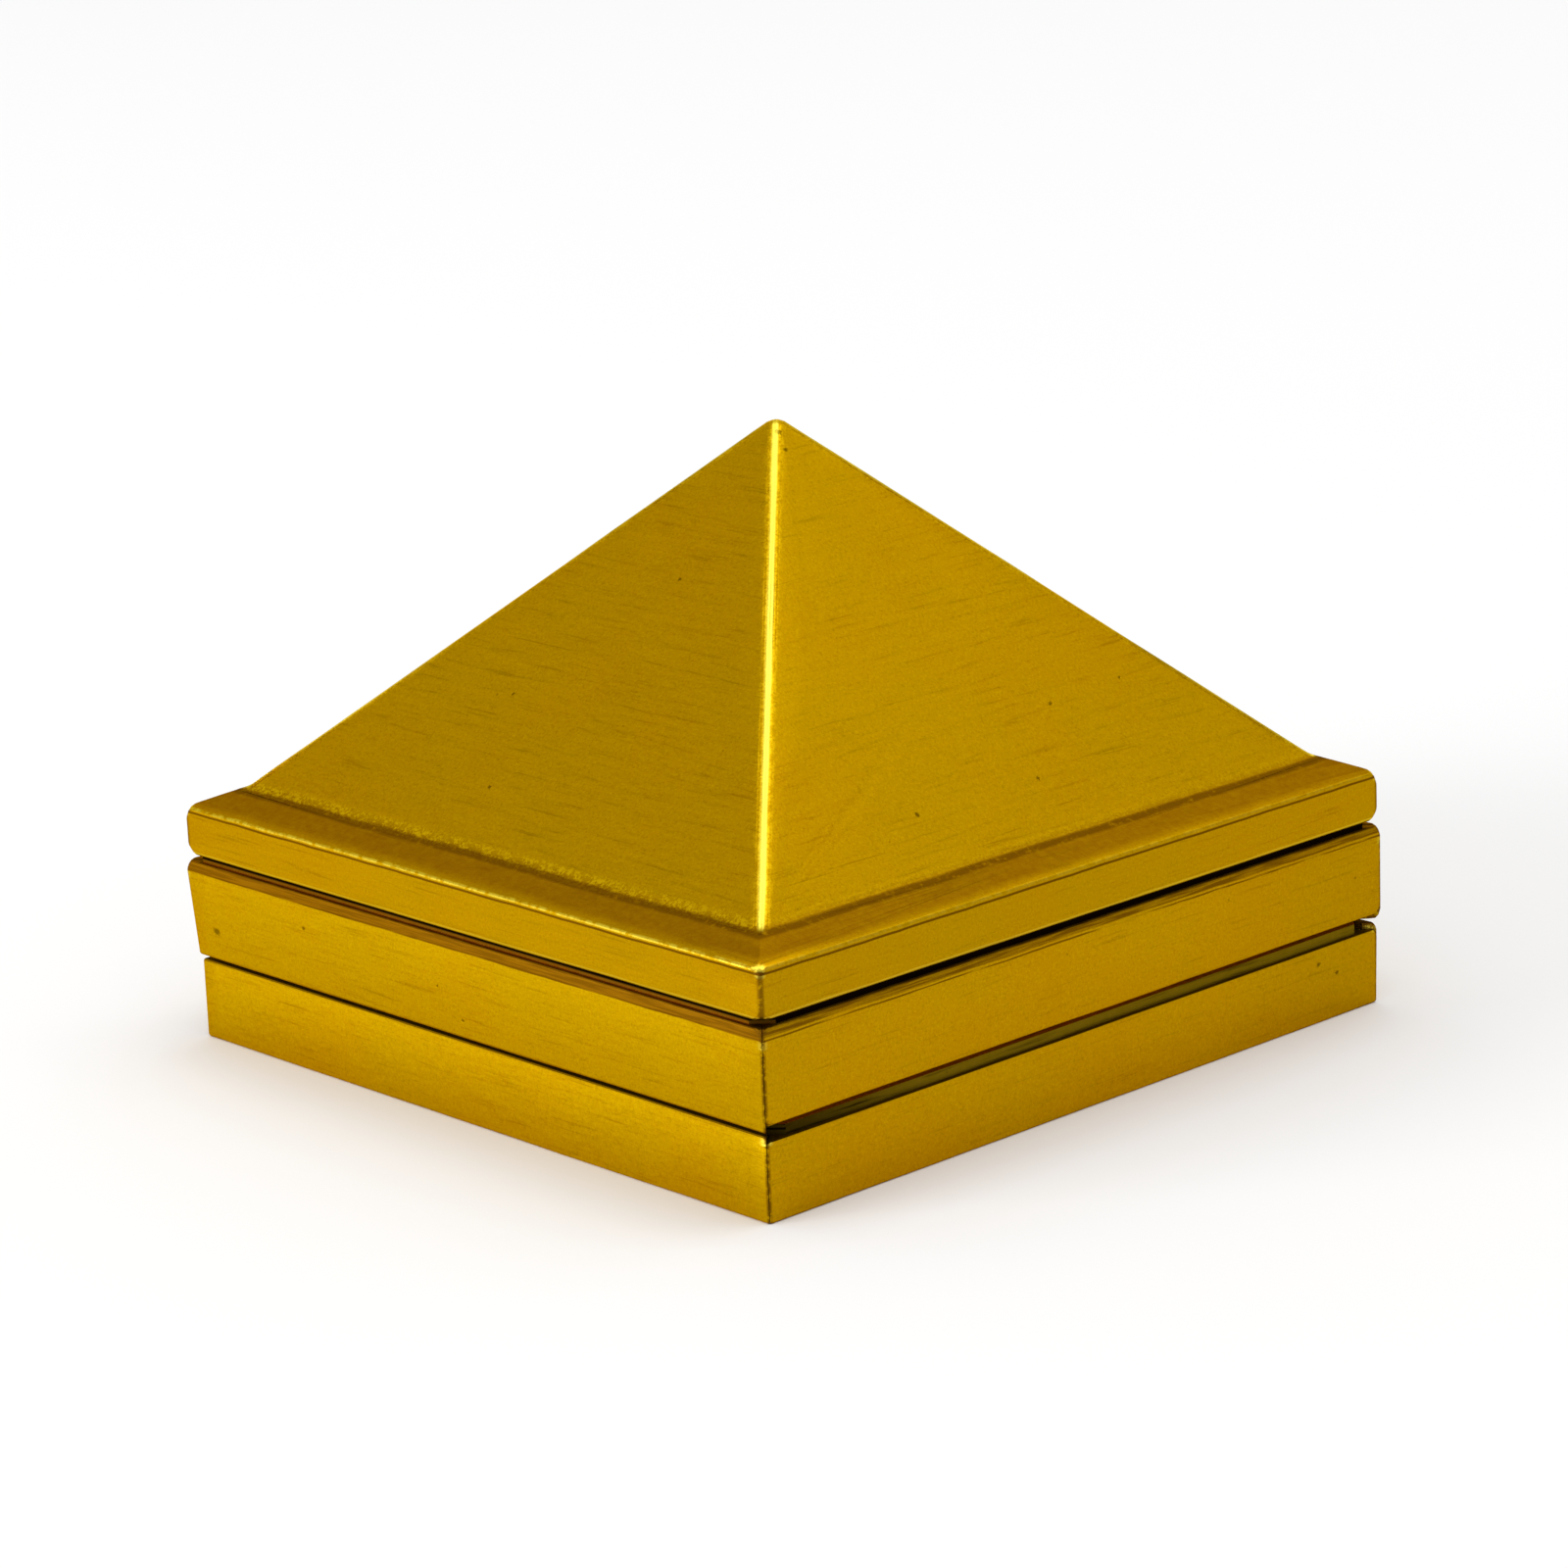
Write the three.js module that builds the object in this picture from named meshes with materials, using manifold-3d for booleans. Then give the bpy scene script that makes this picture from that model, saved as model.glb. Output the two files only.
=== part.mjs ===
// A brass vastu pyramid of three loose tiers. The hollow cap stands over a plate of nine pyramids,
// which lies on the middle frame, and that stands over a plate of eighty-one pyramids on the base.
// Millimetres, +Z up, origin at the centre of the underside.
import * as THREE from 'three';
import { mergeVertices } from 'three/addons/utils/BufferGeometryUtils.js';
import Module from 'manifold-3d';

const wasm = await Module();
wasm.setup();

// Outside of the tiers: half the cap's side, and how far the frames stand out or back from it
const capHalf = 20;
const middleOverhang = 0.1;
const baseSetback = 0.05;

// Heights of the tiers, from the table upwards
const baseSeatHeight = 3.65;
const middleBarHeight = 4.65;
const capRimHeight = 2.3;
const flangeRise = 0.9;
const pyramidHeight = 17.25;

// Cap: a cast shell with a sloped flange round the pyramid's foot
const flangeWidth = 2.05;
const capRimWidth = 2.4;
const capWall = 1.2;
const ridgeRadius = 0.4;
const apexRadius = 0.9;
const coveRadius = 0.7;
const flangeEdgeRadius = 0.25;
const capBottomRadius = 0.25;

// Frame bars, mitred and soldered at the corners
const barWidth = 2.4;
const barEdgeRadius = 0.3;
const middleTopRadius = 0.4;
const seamEdgeRadius = 0.15;
const mitreJoint = 0.06;

// Raised lip that hides the lower plate's edge on three sides, and the filed relief on the fourth
const lipHeight = 0.3;
const lipWidth = 0.5;
const lipClearance = 0.08;
const reliefHeight = 0.33;
const reliefDepth = 0.75;

// Stamped plates of hollow pyramids
const upperPlateThickness = 0.3;
const lowerPlateThickness = 0.5;
const plateInset = 0.25;
const plateCornerClip = 0.8;
const blockClearance = 0.4;
const ninePyramidHeight = 6;
const ninePyramidGap = 0.4;
const ninePerSide = 3;
const tinyPyramidHeight = 2.2;
const tinyPyramidGap = 0.25;
const tinyPerSide = 9;

// Floor plate let into the underside of the base
const floorThickness = 0.8;
const floorLedge = 1;
const floorClearance = 0.05;

// Fineness of the rounded edges
const arcSteps = 4;
const cornerSteps = 4;

// Half sides worked out from the sizes above
const middleHalf = capHalf + middleOverhang;
const baseHalf = capHalf - baseSetback;
const pyramidFootHalf = capHalf - flangeWidth;

// Levels worked out from the sizes above
const middleBottom = baseSeatHeight + lowerPlateThickness;
const middleTop = middleBottom + middleBarHeight;
const capBottom = middleTop + upperPlateThickness;
const rimTop = capBottom + capRimHeight;
const footLevel = rimTop + flangeRise;
const apexLevel = footLevel + pyramidHeight;

const cutMargin = 0.1;
const tiny = 1e-6;

// Brass as it shows on each kind of piece
const finishes = {
  cap: { color: 0xb58702, roughness: 0.32, metalness: 1 },
  frame: { color: 0xc69a03, roughness: 0.35, metalness: 1 },
  plate: { color: 0x8a5a10, roughness: 0.5, metalness: 1 },
};

function namedMesh(name, geometry, finish) {
  geometry.computeVertexNormals();
  const mesh = new THREE.Mesh(geometry, new THREE.MeshStandardMaterial(finishes[finish]));
  mesh.name = name;
  return mesh;
}

// One closed geometry from corner points and triangles, with doubled points joined and faces outwards
function closedGeometry(positions, triangles) {
  const loose = new THREE.BufferGeometry();
  loose.setAttribute('position', new THREE.Float32BufferAttribute(positions, 3));
  loose.setIndex(triangles);
  const joined = mergeVertices(loose, 1e-4);
  const index = joined.getIndex().array;
  const place = joined.getAttribute('position');
  const kept = [];
  let volume = 0;
  const [a, b, c] = [new THREE.Vector3(), new THREE.Vector3(), new THREE.Vector3()];
  for (let i = 0; i < index.length; i += 3) {
    const [ia, ib, ic] = [index[i], index[i + 1], index[i + 2]];
    if (ia === ib || ib === ic || ic === ia) continue;
    kept.push(ia, ib, ic);
    a.fromBufferAttribute(place, ia);
    b.fromBufferAttribute(place, ib);
    c.fromBufferAttribute(place, ic);
    volume += a.dot(b.cross(c)) / 6;
  }
  joined.setIndex(volume < 0 ? kept.reverse() : kept);
  return joined;
}

function solidFrom(geometry) {
  geometry.deleteAttribute('normal');
  geometry.deleteAttribute('uv');
  const joined = mergeVertices(geometry, 1e-4);
  return new wasm.Manifold(new wasm.Mesh({
    numProp: 3,
    vertProperties: new Float32Array(joined.getAttribute('position').array),
    triVerts: new Uint32Array(joined.getIndex().array),
  }));
}

function geometryFrom(solid) {
  const mesh = solid.getMesh();
  const geometry = new THREE.BufferGeometry();
  geometry.setAttribute('position', new THREE.Float32BufferAttribute(mesh.vertProperties, 3));
  geometry.setIndex(Array.from(mesh.triVerts));
  return geometry;
}

// Points of a section from its corners [across, up, radius], each corner rounded by its own radius
function roundedSection(corners) {
  const points = [];
  corners.forEach(([across, up, radius], i) => {
    const corner = new THREE.Vector2(across, up);
    if (!radius) {
      points.push(corner);
      return;
    }
    const before = corners[(i + corners.length - 1) % corners.length];
    const after = corners[(i + 1) % corners.length];
    const toBefore = new THREE.Vector2(before[0], before[1]).sub(corner).normalize();
    const toAfter = new THREE.Vector2(after[0], after[1]).sub(corner).normalize();
    const halfAngle = Math.acos(toBefore.dot(toAfter)) / 2;
    const centre = toBefore.clone().add(toAfter).normalize()
      .multiplyScalar(radius / Math.sin(halfAngle)).add(corner);
    const reach = radius / Math.tan(halfAngle);
    const start = toBefore.clone().multiplyScalar(reach).add(corner).sub(centre).angle();
    const end = toAfter.clone().multiplyScalar(reach).add(corner).sub(centre).angle();
    const turn = Math.atan2(Math.sin(end - start), Math.cos(end - start));
    for (let step = 0; step <= arcSteps; step += 1) {
      const angle = start + (turn * step) / arcSteps;
      points.push(new THREE.Vector2(Math.cos(angle), Math.sin(angle)).multiplyScalar(radius).add(centre));
    }
  });
  return points;
}

// A shell of square rings, one for each point (half side, height) of a section from axis to axis
function squareShell(section, cornerRadius) {
  const positions = [];
  const triangles = [];
  const rings = section.map(({ x: half, y: level }) => {
    const first = positions.length / 3;
    if (half < tiny) {
      positions.push(0, 0, level);
      return [first];
    }
    const radius = Math.min(cornerRadius, half);
    const ring = [];
    for (let corner = 0; corner < 4; corner += 1) {
      const centreX = (half - radius) * (corner === 0 || corner === 3 ? 1 : -1);
      const centreY = (half - radius) * (corner < 2 ? 1 : -1);
      for (let step = 0; step <= cornerSteps; step += 1) {
        const angle = ((corner + step / cornerSteps) * Math.PI) / 2;
        ring.push(positions.length / 3);
        positions.push(centreX + radius * Math.cos(angle), centreY + radius * Math.sin(angle), level);
      }
    }
    return ring;
  });
  for (let i = 0; i + 1 < rings.length; i += 1) {
    const [upper, lower] = [rings[i], rings[i + 1]];
    const count = Math.max(upper.length, lower.length);
    for (let k = 0; k < count; k += 1) {
      const next = (k + 1) % count;
      const at = (ring, j) => ring[ring.length === 1 ? 0 : j];
      triangles.push(at(upper, k), at(lower, k), at(lower, next));
      triangles.push(at(upper, k), at(lower, next), at(upper, next));
    }
  }
  return closedGeometry(positions, triangles);
}

function capShell() {
  const slope = pyramidHeight / pyramidFootHalf;
  const innerApex = apexLevel - capWall * Math.hypot(1, slope);
  const openingHalf = capHalf - capRimWidth;
  const innerFoot = innerApex - openingHalf * slope;
  const outside = roundedSection([
    [-pyramidFootHalf, footLevel, 0],
    [0, apexLevel, apexRadius],
    [pyramidFootHalf, footLevel, coveRadius],
    [capHalf, rimTop, flangeEdgeRadius],
    [capHalf, capBottom, capBottomRadius],
    [openingHalf, capBottom, 0],
  ]).filter(({ x }) => x > -tiny).slice(0, -1);
  const inside = innerFoot > capBottom
    ? [[openingHalf, capBottom], [openingHalf, innerFoot]]
    : [[(innerApex - capBottom) / slope, capBottom]];
  const section = [...outside, ...roundedSection([...inside, [0, innerApex]])];
  return namedMesh('cap_shell', squareShell(section, ridgeRadius), 'cap');
}

// A bar along the front, its section given as (distance from the centre line, height)
function mitredBar(section) {
  const positions = [];
  const triangles = [];
  const count = section.length;
  for (const side of [-1, 1]) {
    for (const { x: out, y: level } of section) positions.push(side * (out - mitreJoint / 2), -out, level);
  }
  for (let i = 0; i < count; i += 1) {
    const next = (i + 1) % count;
    triangles.push(i, next, count + next, i, count + next, count + i);
  }
  for (const [a, b, c] of THREE.ShapeUtils.triangulateShape(section, [])) {
    triangles.push(c, b, a, count + a, count + b, count + c);
  }
  return closedGeometry(positions, triangles);
}

// Four bars round the square, front, right, back and left, each turned by a quarter from the last
function barFrame(name, sectionOf) {
  const frame = new THREE.Group();
  ['front', 'right', 'back', 'left'].forEach((side, quarter) => {
    const bar = namedMesh(`${name}_${side}_bar`, mitredBar(sectionOf(side)), 'frame');
    bar.rotation.z = (quarter * Math.PI) / 2;
    frame.add(bar);
  });
  return frame;
}

// The base bar carries the plate on its top and the floor plate in a rebate below
function baseBarSection(side) {
  const inner = baseHalf - barWidth;
  const floorEdge = inner + floorLedge + floorClearance;
  const lipInner = baseHalf - lipWidth;
  const top = side === 'right'
    ? [[baseHalf, baseSeatHeight, seamEdgeRadius]]
    : [[baseHalf, baseSeatHeight + lipHeight, seamEdgeRadius],
      [lipInner, baseSeatHeight + lipHeight, 0],
      [lipInner, baseSeatHeight, 0]];
  return roundedSection([
    [floorEdge, 0, 0],
    [baseHalf, 0, barEdgeRadius],
    ...top,
    [inner, baseSeatHeight, 0],
    [inner, floorThickness, 0],
    [floorEdge, floorThickness, 0],
  ]);
}

// The middle bar stands on the lower plate, and on the right its outer bottom edge is filed away
function middleBarSection(side) {
  const inner = middleHalf - barWidth;
  const bottom = side === 'right'
    ? [[middleHalf - reliefDepth, middleBottom, 0],
      [middleHalf - reliefDepth, middleBottom + reliefHeight, 0],
      [middleHalf, middleBottom + reliefHeight, seamEdgeRadius]]
    : [[middleHalf, middleBottom, seamEdgeRadius]];
  return roundedSection([
    [inner, middleBottom, 0],
    ...bottom,
    [middleHalf, middleTop, middleTopRadius],
    [inner, middleTop, 0],
  ]);
}

function box(low, high) {
  const size = high.map((value, i) => value - low[i]);
  const geometry = new THREE.BoxGeometry(...size);
  geometry.translate(...low.map((value, i) => value + size[i] / 2));
  return geometry;
}

// A four-sided pyramid with its foot square to the axes
function pyramid(half, height, x, y, level) {
  const geometry = new THREE.ConeGeometry(half * Math.SQRT2, height, 4, 1);
  geometry.rotateY(Math.PI / 4);
  geometry.rotateX(Math.PI / 2);
  geometry.translate(x, y, level + height / 2);
  return geometry;
}

// A sheet with its corners clipped, reaching rightReach on the right and reach on the other sides
function clippedSheet(reach, rightReach, bottom, thickness) {
  const clip = plateCornerClip;
  const outline = new THREE.Shape([
    [-reach + clip, -reach], [rightReach - clip, -reach], [rightReach, -reach + clip],
    [rightReach, reach - clip], [rightReach - clip, reach], [-reach + clip, reach],
    [-reach, reach - clip], [-reach, -reach + clip],
  ].map(([x, y]) => new THREE.Vector2(x, y)));
  const geometry = new THREE.ExtrudeGeometry(outline, { depth: thickness, bevelEnabled: false });
  geometry.translate(0, 0, bottom);
  return geometry;
}

// A stamped plate: each pyramid is hollow below and as thick as the sheet
function pyramidPlate(name, sheet, bottom, thickness, blockHalf, perSide, gap, height) {
  const top = bottom + thickness;
  const half = (2 * blockHalf - (perSide - 1) * gap) / perSide / 2;
  const slope = height / half;
  const pitch = 2 * half + gap;
  const innerHalf = half - (thickness * (Math.hypot(1, slope) - 1)) / slope;
  let plate = solidFrom(sheet);
  for (let row = 0; row < perSide; row += 1) {
    for (let column = 0; column < perSide; column += 1) {
      const x = (column - (perSide - 1) / 2) * pitch;
      const y = (row - (perSide - 1) / 2) * pitch;
      plate = plate.add(solidFrom(pyramid(half, height, x, y, top)));
      const hollowHalf = innerHalf + cutMargin / slope;
      plate = plate.subtract(
        solidFrom(pyramid(hollowHalf, hollowHalf * slope, x, y, bottom - cutMargin)),
      );
    }
  }
  return namedMesh(name, geometryFrom(plate), 'plate');
}

function ninePyramidPlate() {
  const reach = middleHalf - plateInset;
  const sheet = clippedSheet(reach, reach, middleTop, upperPlateThickness);
  const blockHalf = capHalf - capRimWidth - blockClearance;
  return pyramidPlate('nine_pyramid_plate', sheet, middleTop, upperPlateThickness, blockHalf,
    ninePerSide, ninePyramidGap, ninePyramidHeight);
}

function eightyOnePyramidPlate() {
  const reach = baseHalf - lipWidth - lipClearance;
  const sheet = clippedSheet(reach, baseHalf - plateInset, baseSeatHeight, lowerPlateThickness);
  const blockHalf = middleHalf - barWidth - blockClearance;
  return pyramidPlate('eighty_one_pyramid_plate', sheet, baseSeatHeight, lowerPlateThickness,
    blockHalf, tinyPerSide, tinyPyramidGap, tinyPyramidHeight);
}

function floorPlate() {
  const half = baseHalf - barWidth + floorLedge;
  const geometry = box([-half, -half, 0], [half, half, floorThickness]);
  geometry.deleteAttribute('normal');
  geometry.deleteAttribute('uv');
  return namedMesh('base_floor_plate', mergeVertices(geometry, 1e-4), 'plate');
}

const baseTier = new THREE.Group();
baseTier.add(floorPlate(), barFrame('base_frame', baseBarSection), eightyOnePyramidPlate());

const middleTier = new THREE.Group();
middleTier.add(barFrame('middle_frame', middleBarSection), ninePyramidPlate());

const vastuPyramid = new THREE.Group();
vastuPyramid.add(baseTier, middleTier, capShell());

export default vastuPyramid;
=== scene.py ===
# The looks of a brass vastu pyramid: a hollow cap, two mitred frames, two stamped plates and a floor.
import math

import bmesh
import bpy
from mathutils import Matrix, Vector


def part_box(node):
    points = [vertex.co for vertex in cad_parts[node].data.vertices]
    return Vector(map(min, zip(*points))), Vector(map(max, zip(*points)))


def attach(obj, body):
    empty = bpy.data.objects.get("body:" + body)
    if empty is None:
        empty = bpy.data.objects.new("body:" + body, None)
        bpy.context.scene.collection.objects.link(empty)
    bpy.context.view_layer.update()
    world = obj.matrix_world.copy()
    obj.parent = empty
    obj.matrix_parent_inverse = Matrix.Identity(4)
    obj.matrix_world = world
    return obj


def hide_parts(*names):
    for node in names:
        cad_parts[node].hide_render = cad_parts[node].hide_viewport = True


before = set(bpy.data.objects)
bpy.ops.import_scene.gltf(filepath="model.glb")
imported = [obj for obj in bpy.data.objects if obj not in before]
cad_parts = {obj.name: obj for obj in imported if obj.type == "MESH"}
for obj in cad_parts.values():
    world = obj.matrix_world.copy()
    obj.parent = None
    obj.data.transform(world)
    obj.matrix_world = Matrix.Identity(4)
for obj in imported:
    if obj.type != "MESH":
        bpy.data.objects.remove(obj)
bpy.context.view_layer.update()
MM = 0.001


# Sizes read from the frame, in metres
CAP_LOW, CAP_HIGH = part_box("cap_shell")
MIDDLE_LOW, MIDDLE_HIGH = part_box("middle_frame_front_bar")
MIDDLE_SIDE_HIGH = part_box("middle_frame_right_bar")[1]
BASE_LOW, BASE_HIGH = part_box("base_frame_front_bar")
BASE_RIGHT_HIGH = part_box("base_frame_right_bar")[1]

CAP_HALF = CAP_HIGH.x
MIDDLE_HALF = MIDDLE_SIDE_HIGH.x
BASE_HALF = BASE_RIGHT_HIGH.x

# Sizes that the frame's boxes don't give, in metres
RIM_HEIGHT = 2.3 * MM
FLANGE_RISE = 0.9 * MM
FLANGE_WIDTH = 2.05 * MM
TIP_ROUNDING = 0.35 * MM         # what rounding takes off the height of the tip
TIP_HALF = 0.02 * MM             # half side that a tip is drawn in to before its points are merged
PYRAMID_FOOT_HALF = CAP_HALF - FLANGE_WIDTH
PYRAMID_HEIGHT = CAP_HIGH.z - CAP_LOW.z - RIM_HEIGHT - FLANGE_RISE + TIP_ROUNDING
APEX_LEAN = Vector((0.38, 0.41)) * MM
CAP_RIM_WIDTH = 2.4 * MM
CAP_WALL = 1.2 * MM
RIDGE_RADIUS = 0.42 * MM
RIM_EDGE_WIDTH = 0.24 * MM
CAP_CORNER_WIDTH = 0.85 * MM
COVE_WIDTH = 0.75 * MM
CAP_WAVINESS = 0.08 * MM
CAP_WAVE_SPREAD = 5 * MM
CAP_MESH_LEVELS = 3

BAR_WIDTH = 2.4 * MM
FRAME_WAVINESS = 0.05 * MM
FRAME_WAVE_SPREAD = 6 * MM
BAR_LENGTH_CUTS = 40
MITRE_JOINT = 0.03 * MM
FRAME_EDGE_WIDTH = 0.15 * MM
FRAME_TOP_WIDTH = 0.22 * MM
RIGHT_TOP_WIDTH = 0.35 * MM
MIDDLE_CORNER_WIDTH = 0.75 * MM
BASE_CORNER_WIDTH = 0.5 * MM
MIDDLE_TAPER = 0.5 * MM
BASE_TAPER = 0.4 * MM
TAPER_TOP_RISE = 1 * MM         # how far up the middle tier its left side is drawn in
SIDE_DEPTH = 0.9 * MM            # how deep the points reach that belong to a bevelled outer side
LIP_WIDTH = 0.5 * MM
LIP_HEIGHT = 0.3 * MM
RELIEF_DEPTH = 0.75 * MM
RELIEF_HEIGHT = 0.33 * MM
FLOOR_REBATE = 1.05 * MM
FLOOR_THICKNESS = 0.8 * MM

TOUCHING = 1e-6                  # places this close are the same
ABOUT = 1e-5                     # the same, after a bevel or a resize
FOOT_SLACK = 0.2 * MM            # the ridge bevels lift the foot line by less than this
SHORT_EDGE = 5 * MM              # bevels and folds leave edges shorter than this
LONG_EDGE = 20 * MM              # the edges that run the whole side of a ring

RIM_TOP = CAP_LOW.z + RIM_HEIGHT
FOOT_LEVEL = RIM_TOP + FLANGE_RISE
APEX_LEVEL = FOOT_LEVEL + PYRAMID_HEIGHT
SLOPE = PYRAMID_HEIGHT / PYRAMID_FOOT_HALF

# Camera, fitted to the edges of the object in the photograph
CAMERA_AZIMUTH = math.radians(47.19)
CAMERA_ELEVATION = math.radians(15.5)
CAMERA_ROLL = math.radians(-2.27)
CAMERA_DISTANCE = 237.33 * MM
CAMERA_AIM = Vector((1.108, -0.662, 12.0)) * MM
CAMERA_LENS = 115.7
CAMERA_SENSOR = 36.0

DOME_LEVEL = 0.65
# Each light's name, place, size in metres and glow
SOFTBOXES = (("overhead_softbox", (0.0, 0.0, 2.0), 1.55, 1.15),
             ("back_softbox", (0.35, 0.75, 2.0), 1.55, 0.95),
             ("front_softbox", (-0.35, -0.9, 0.2), 0.5, 6.8))


# Modelling with operators

def deselect_all():
    if bpy.context.object and bpy.context.object.mode != "OBJECT":
        bpy.ops.object.mode_set(mode="OBJECT")
    bpy.ops.object.select_all(action="DESELECT")


def new_block(name, half, low, high):
    """A square block from low to high, named and ready to shape in edit mode."""
    deselect_all()
    bpy.ops.mesh.primitive_cube_add(size=1, location=(0, 0, (low + high) / 2))
    block = bpy.context.object
    block.name = name
    block.data.name = name
    block.scale = (2 * half, 2 * half, high - low)
    bpy.ops.object.transform_apply(location=True, rotation=True, scale=True)
    bpy.ops.object.mode_set(mode="EDIT")
    bpy.ops.mesh.select_mode(type="FACE")
    return block


def select_faces(piece, test):
    bpy.ops.mesh.select_mode(type="FACE")
    mesh = bmesh.from_edit_mesh(piece.data)
    for face in mesh.faces:
        face.select_set(False)
    for face in mesh.faces:
        if test(face.calc_center_median(), face.normal):
            face.select_set(True)
    bmesh.update_edit_mesh(piece.data)


def select_edges(piece, test):
    bpy.ops.mesh.select_mode(type="EDGE")
    mesh = bmesh.from_edit_mesh(piece.data)
    for edge in mesh.edges:
        edge.select_set(False)
    for edge in mesh.edges:
        if test(edge.verts[0].co, edge.verts[1].co):
            edge.select_set(True)
    bmesh.update_edit_mesh(piece.data)


def near(value, target, slack=TOUCHING):
    return abs(value - target) < slack


def facing_up_at(level):
    return lambda centre, normal: normal.z > 0.9 and near(centre.z, level)


def facing_down_at(level):
    return lambda centre, normal: normal.z < -0.9 and near(centre.z, level)


def inset(width):
    bpy.ops.mesh.inset(thickness=width, depth=0, use_even_offset=True)


def extrude(rise, widen=1.0, lean=(0.0, 0.0)):
    bpy.ops.mesh.extrude_region_move(TRANSFORM_OT_translate={"value": (lean[0], lean[1], rise)})
    if widen != 1.0:
        bpy.ops.transform.resize(value=(widen, widen, 1), center_override=(lean[0], lean[1], 0))


def bevel(width, segments=3):
    bpy.ops.mesh.bevel(offset=width, offset_type="OFFSET", segments=segments, profile=0.5)


def at_levels(*levels):
    return lambda place: any(near(place.z, level, ABOUT) for level in levels)


def round_corner_points(piece, half, chosen, width):
    """Takes the points off those corners of a square block that are chosen by their place."""
    bpy.ops.mesh.select_mode(type="VERT")
    mesh = bmesh.from_edit_mesh(piece.data)
    for vertex in mesh.verts:
        place = vertex.co
        on_corner = near(abs(place.x), half, ABOUT) and near(abs(place.y), half, ABOUT)
        vertex.select_set(on_corner and chosen(place))
    bmesh.update_edit_mesh(piece.data)
    bpy.ops.mesh.bevel(offset=width, offset_type="OFFSET", segments=3, profile=0.5, affect="VERTICES")


def finish_edit(piece):
    bpy.ops.mesh.select_mode(type="VERT")
    bpy.ops.mesh.select_all(action="SELECT")
    bpy.ops.mesh.remove_doubles(threshold=1e-7)
    bpy.ops.mesh.normals_make_consistent(inside=False)
    bpy.ops.object.mode_set(mode="OBJECT")


def apply_modifier(piece, kind, **settings):
    modifier = piece.modifiers.new(kind.title(), kind)
    for key, value in settings.items():
        setattr(modifier, key, value)
    bpy.context.view_layer.objects.active = piece
    bpy.ops.object.modifier_apply(modifier=modifier.name)


def hand_waviness(piece, depth, spread):
    """Gives flat faces and straight edges the slight unevenness of hand filing."""
    clouds = bpy.data.textures.new(piece.name + "_unevenness", "CLOUDS")
    clouds.noise_scale = spread
    clouds.noise_depth = 1
    apply_modifier(piece, "DISPLACE", texture=clouds, texture_coords="LOCAL", strength=depth, mid_level=0.5)


def smooth_by_angle(piece, degrees=24):
    deselect_all()
    piece.select_set(True)
    bpy.context.view_layer.objects.active = piece
    bpy.ops.object.shade_smooth_by_angle(angle=math.radians(degrees), keep_sharp_edges=False)


# The cap: rim, flange, pyramid and the hollow below

def make_cap():
    cap = new_block("cap_casting", CAP_HALF, CAP_LOW.z, RIM_TOP)
    select_faces(cap, facing_up_at(RIM_TOP))
    extrude(FLANGE_RISE, PYRAMID_FOOT_HALF / CAP_HALF)
    extrude(PYRAMID_HEIGHT - TIP_HALF * SLOPE, TIP_HALF / PYRAMID_FOOT_HALF, APEX_LEAN)
    bpy.ops.mesh.merge(type="CENTER")
    select_faces(cap, facing_down_at(CAP_LOW.z))
    inset(CAP_RIM_WIDTH)
    opening = CAP_HALF - CAP_RIM_WIDTH
    wall_rise = CAP_WALL * math.hypot(1, SLOPE)
    inner_foot = APEX_LEVEL - wall_rise - opening * SLOPE
    extrude(inner_foot - CAP_LOW.z)
    extrude((opening - TIP_HALF) * SLOPE, TIP_HALF / opening)
    bpy.ops.mesh.merge(type="CENTER")

    def outer_ridge(a, b):
        high, low = (a, b) if a.z > b.z else (b, a)
        on_foot = near(low.z, FOOT_LEVEL) and near(abs(low.x), PYRAMID_FOOT_HALF, ABOUT)
        return on_foot and high.z > FOOT_LEVEL + 1 * MM

    select_edges(cap, outer_ridge)
    bevel(RIDGE_RADIUS, 5)

    def foot_line(a, b):
        level = near(a.z, FOOT_LEVEL, FOOT_SLACK) and near(b.z, FOOT_LEVEL, FOOT_SLACK)
        return level and (a - b).length > SHORT_EDGE

    def rim_top_line(a, b):
        return near(a.z, RIM_TOP) and near(b.z, RIM_TOP) and near(max(abs(a.x), abs(a.y)), CAP_HALF)

    def rim_corner(a, b):
        upright = near(a.x, b.x) and near(a.y, b.y)
        return upright and near(abs(a.x), CAP_HALF, ABOUT) and near(abs(a.y), CAP_HALF, ABOUT)

    def rim_bottom_line(a, b):
        on_outside = near(max(abs(a.x), abs(a.y)), CAP_HALF) and near(max(abs(b.x), abs(b.y)), CAP_HALF)
        return near(a.z, CAP_LOW.z) and near(b.z, CAP_LOW.z) and on_outside

    round_corner_points(cap, CAP_HALF, at_levels(CAP_LOW.z, RIM_TOP), CAP_CORNER_WIDTH)
    select_edges(cap, lambda a, b: rim_top_line(a, b) or rim_corner(a, b) or rim_bottom_line(a, b))
    bevel(RIM_EDGE_WIDTH, 4)
    select_edges(cap, foot_line)
    bevel(COVE_WIDTH, 5)
    finish_edit(cap)
    apply_modifier(cap, "SUBSURF", subdivision_type="SIMPLE", levels=CAP_MESH_LEVELS,
                   render_levels=CAP_MESH_LEVELS)
    hand_waviness(cap, CAP_WAVINESS, CAP_WAVE_SPREAD)
    smooth_by_angle(cap)
    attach(cap, "cap")
    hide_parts("cap_shell")
    return cap


# The two frames: each ring is shaped whole, then cut at the mitres into its four bars

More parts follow.
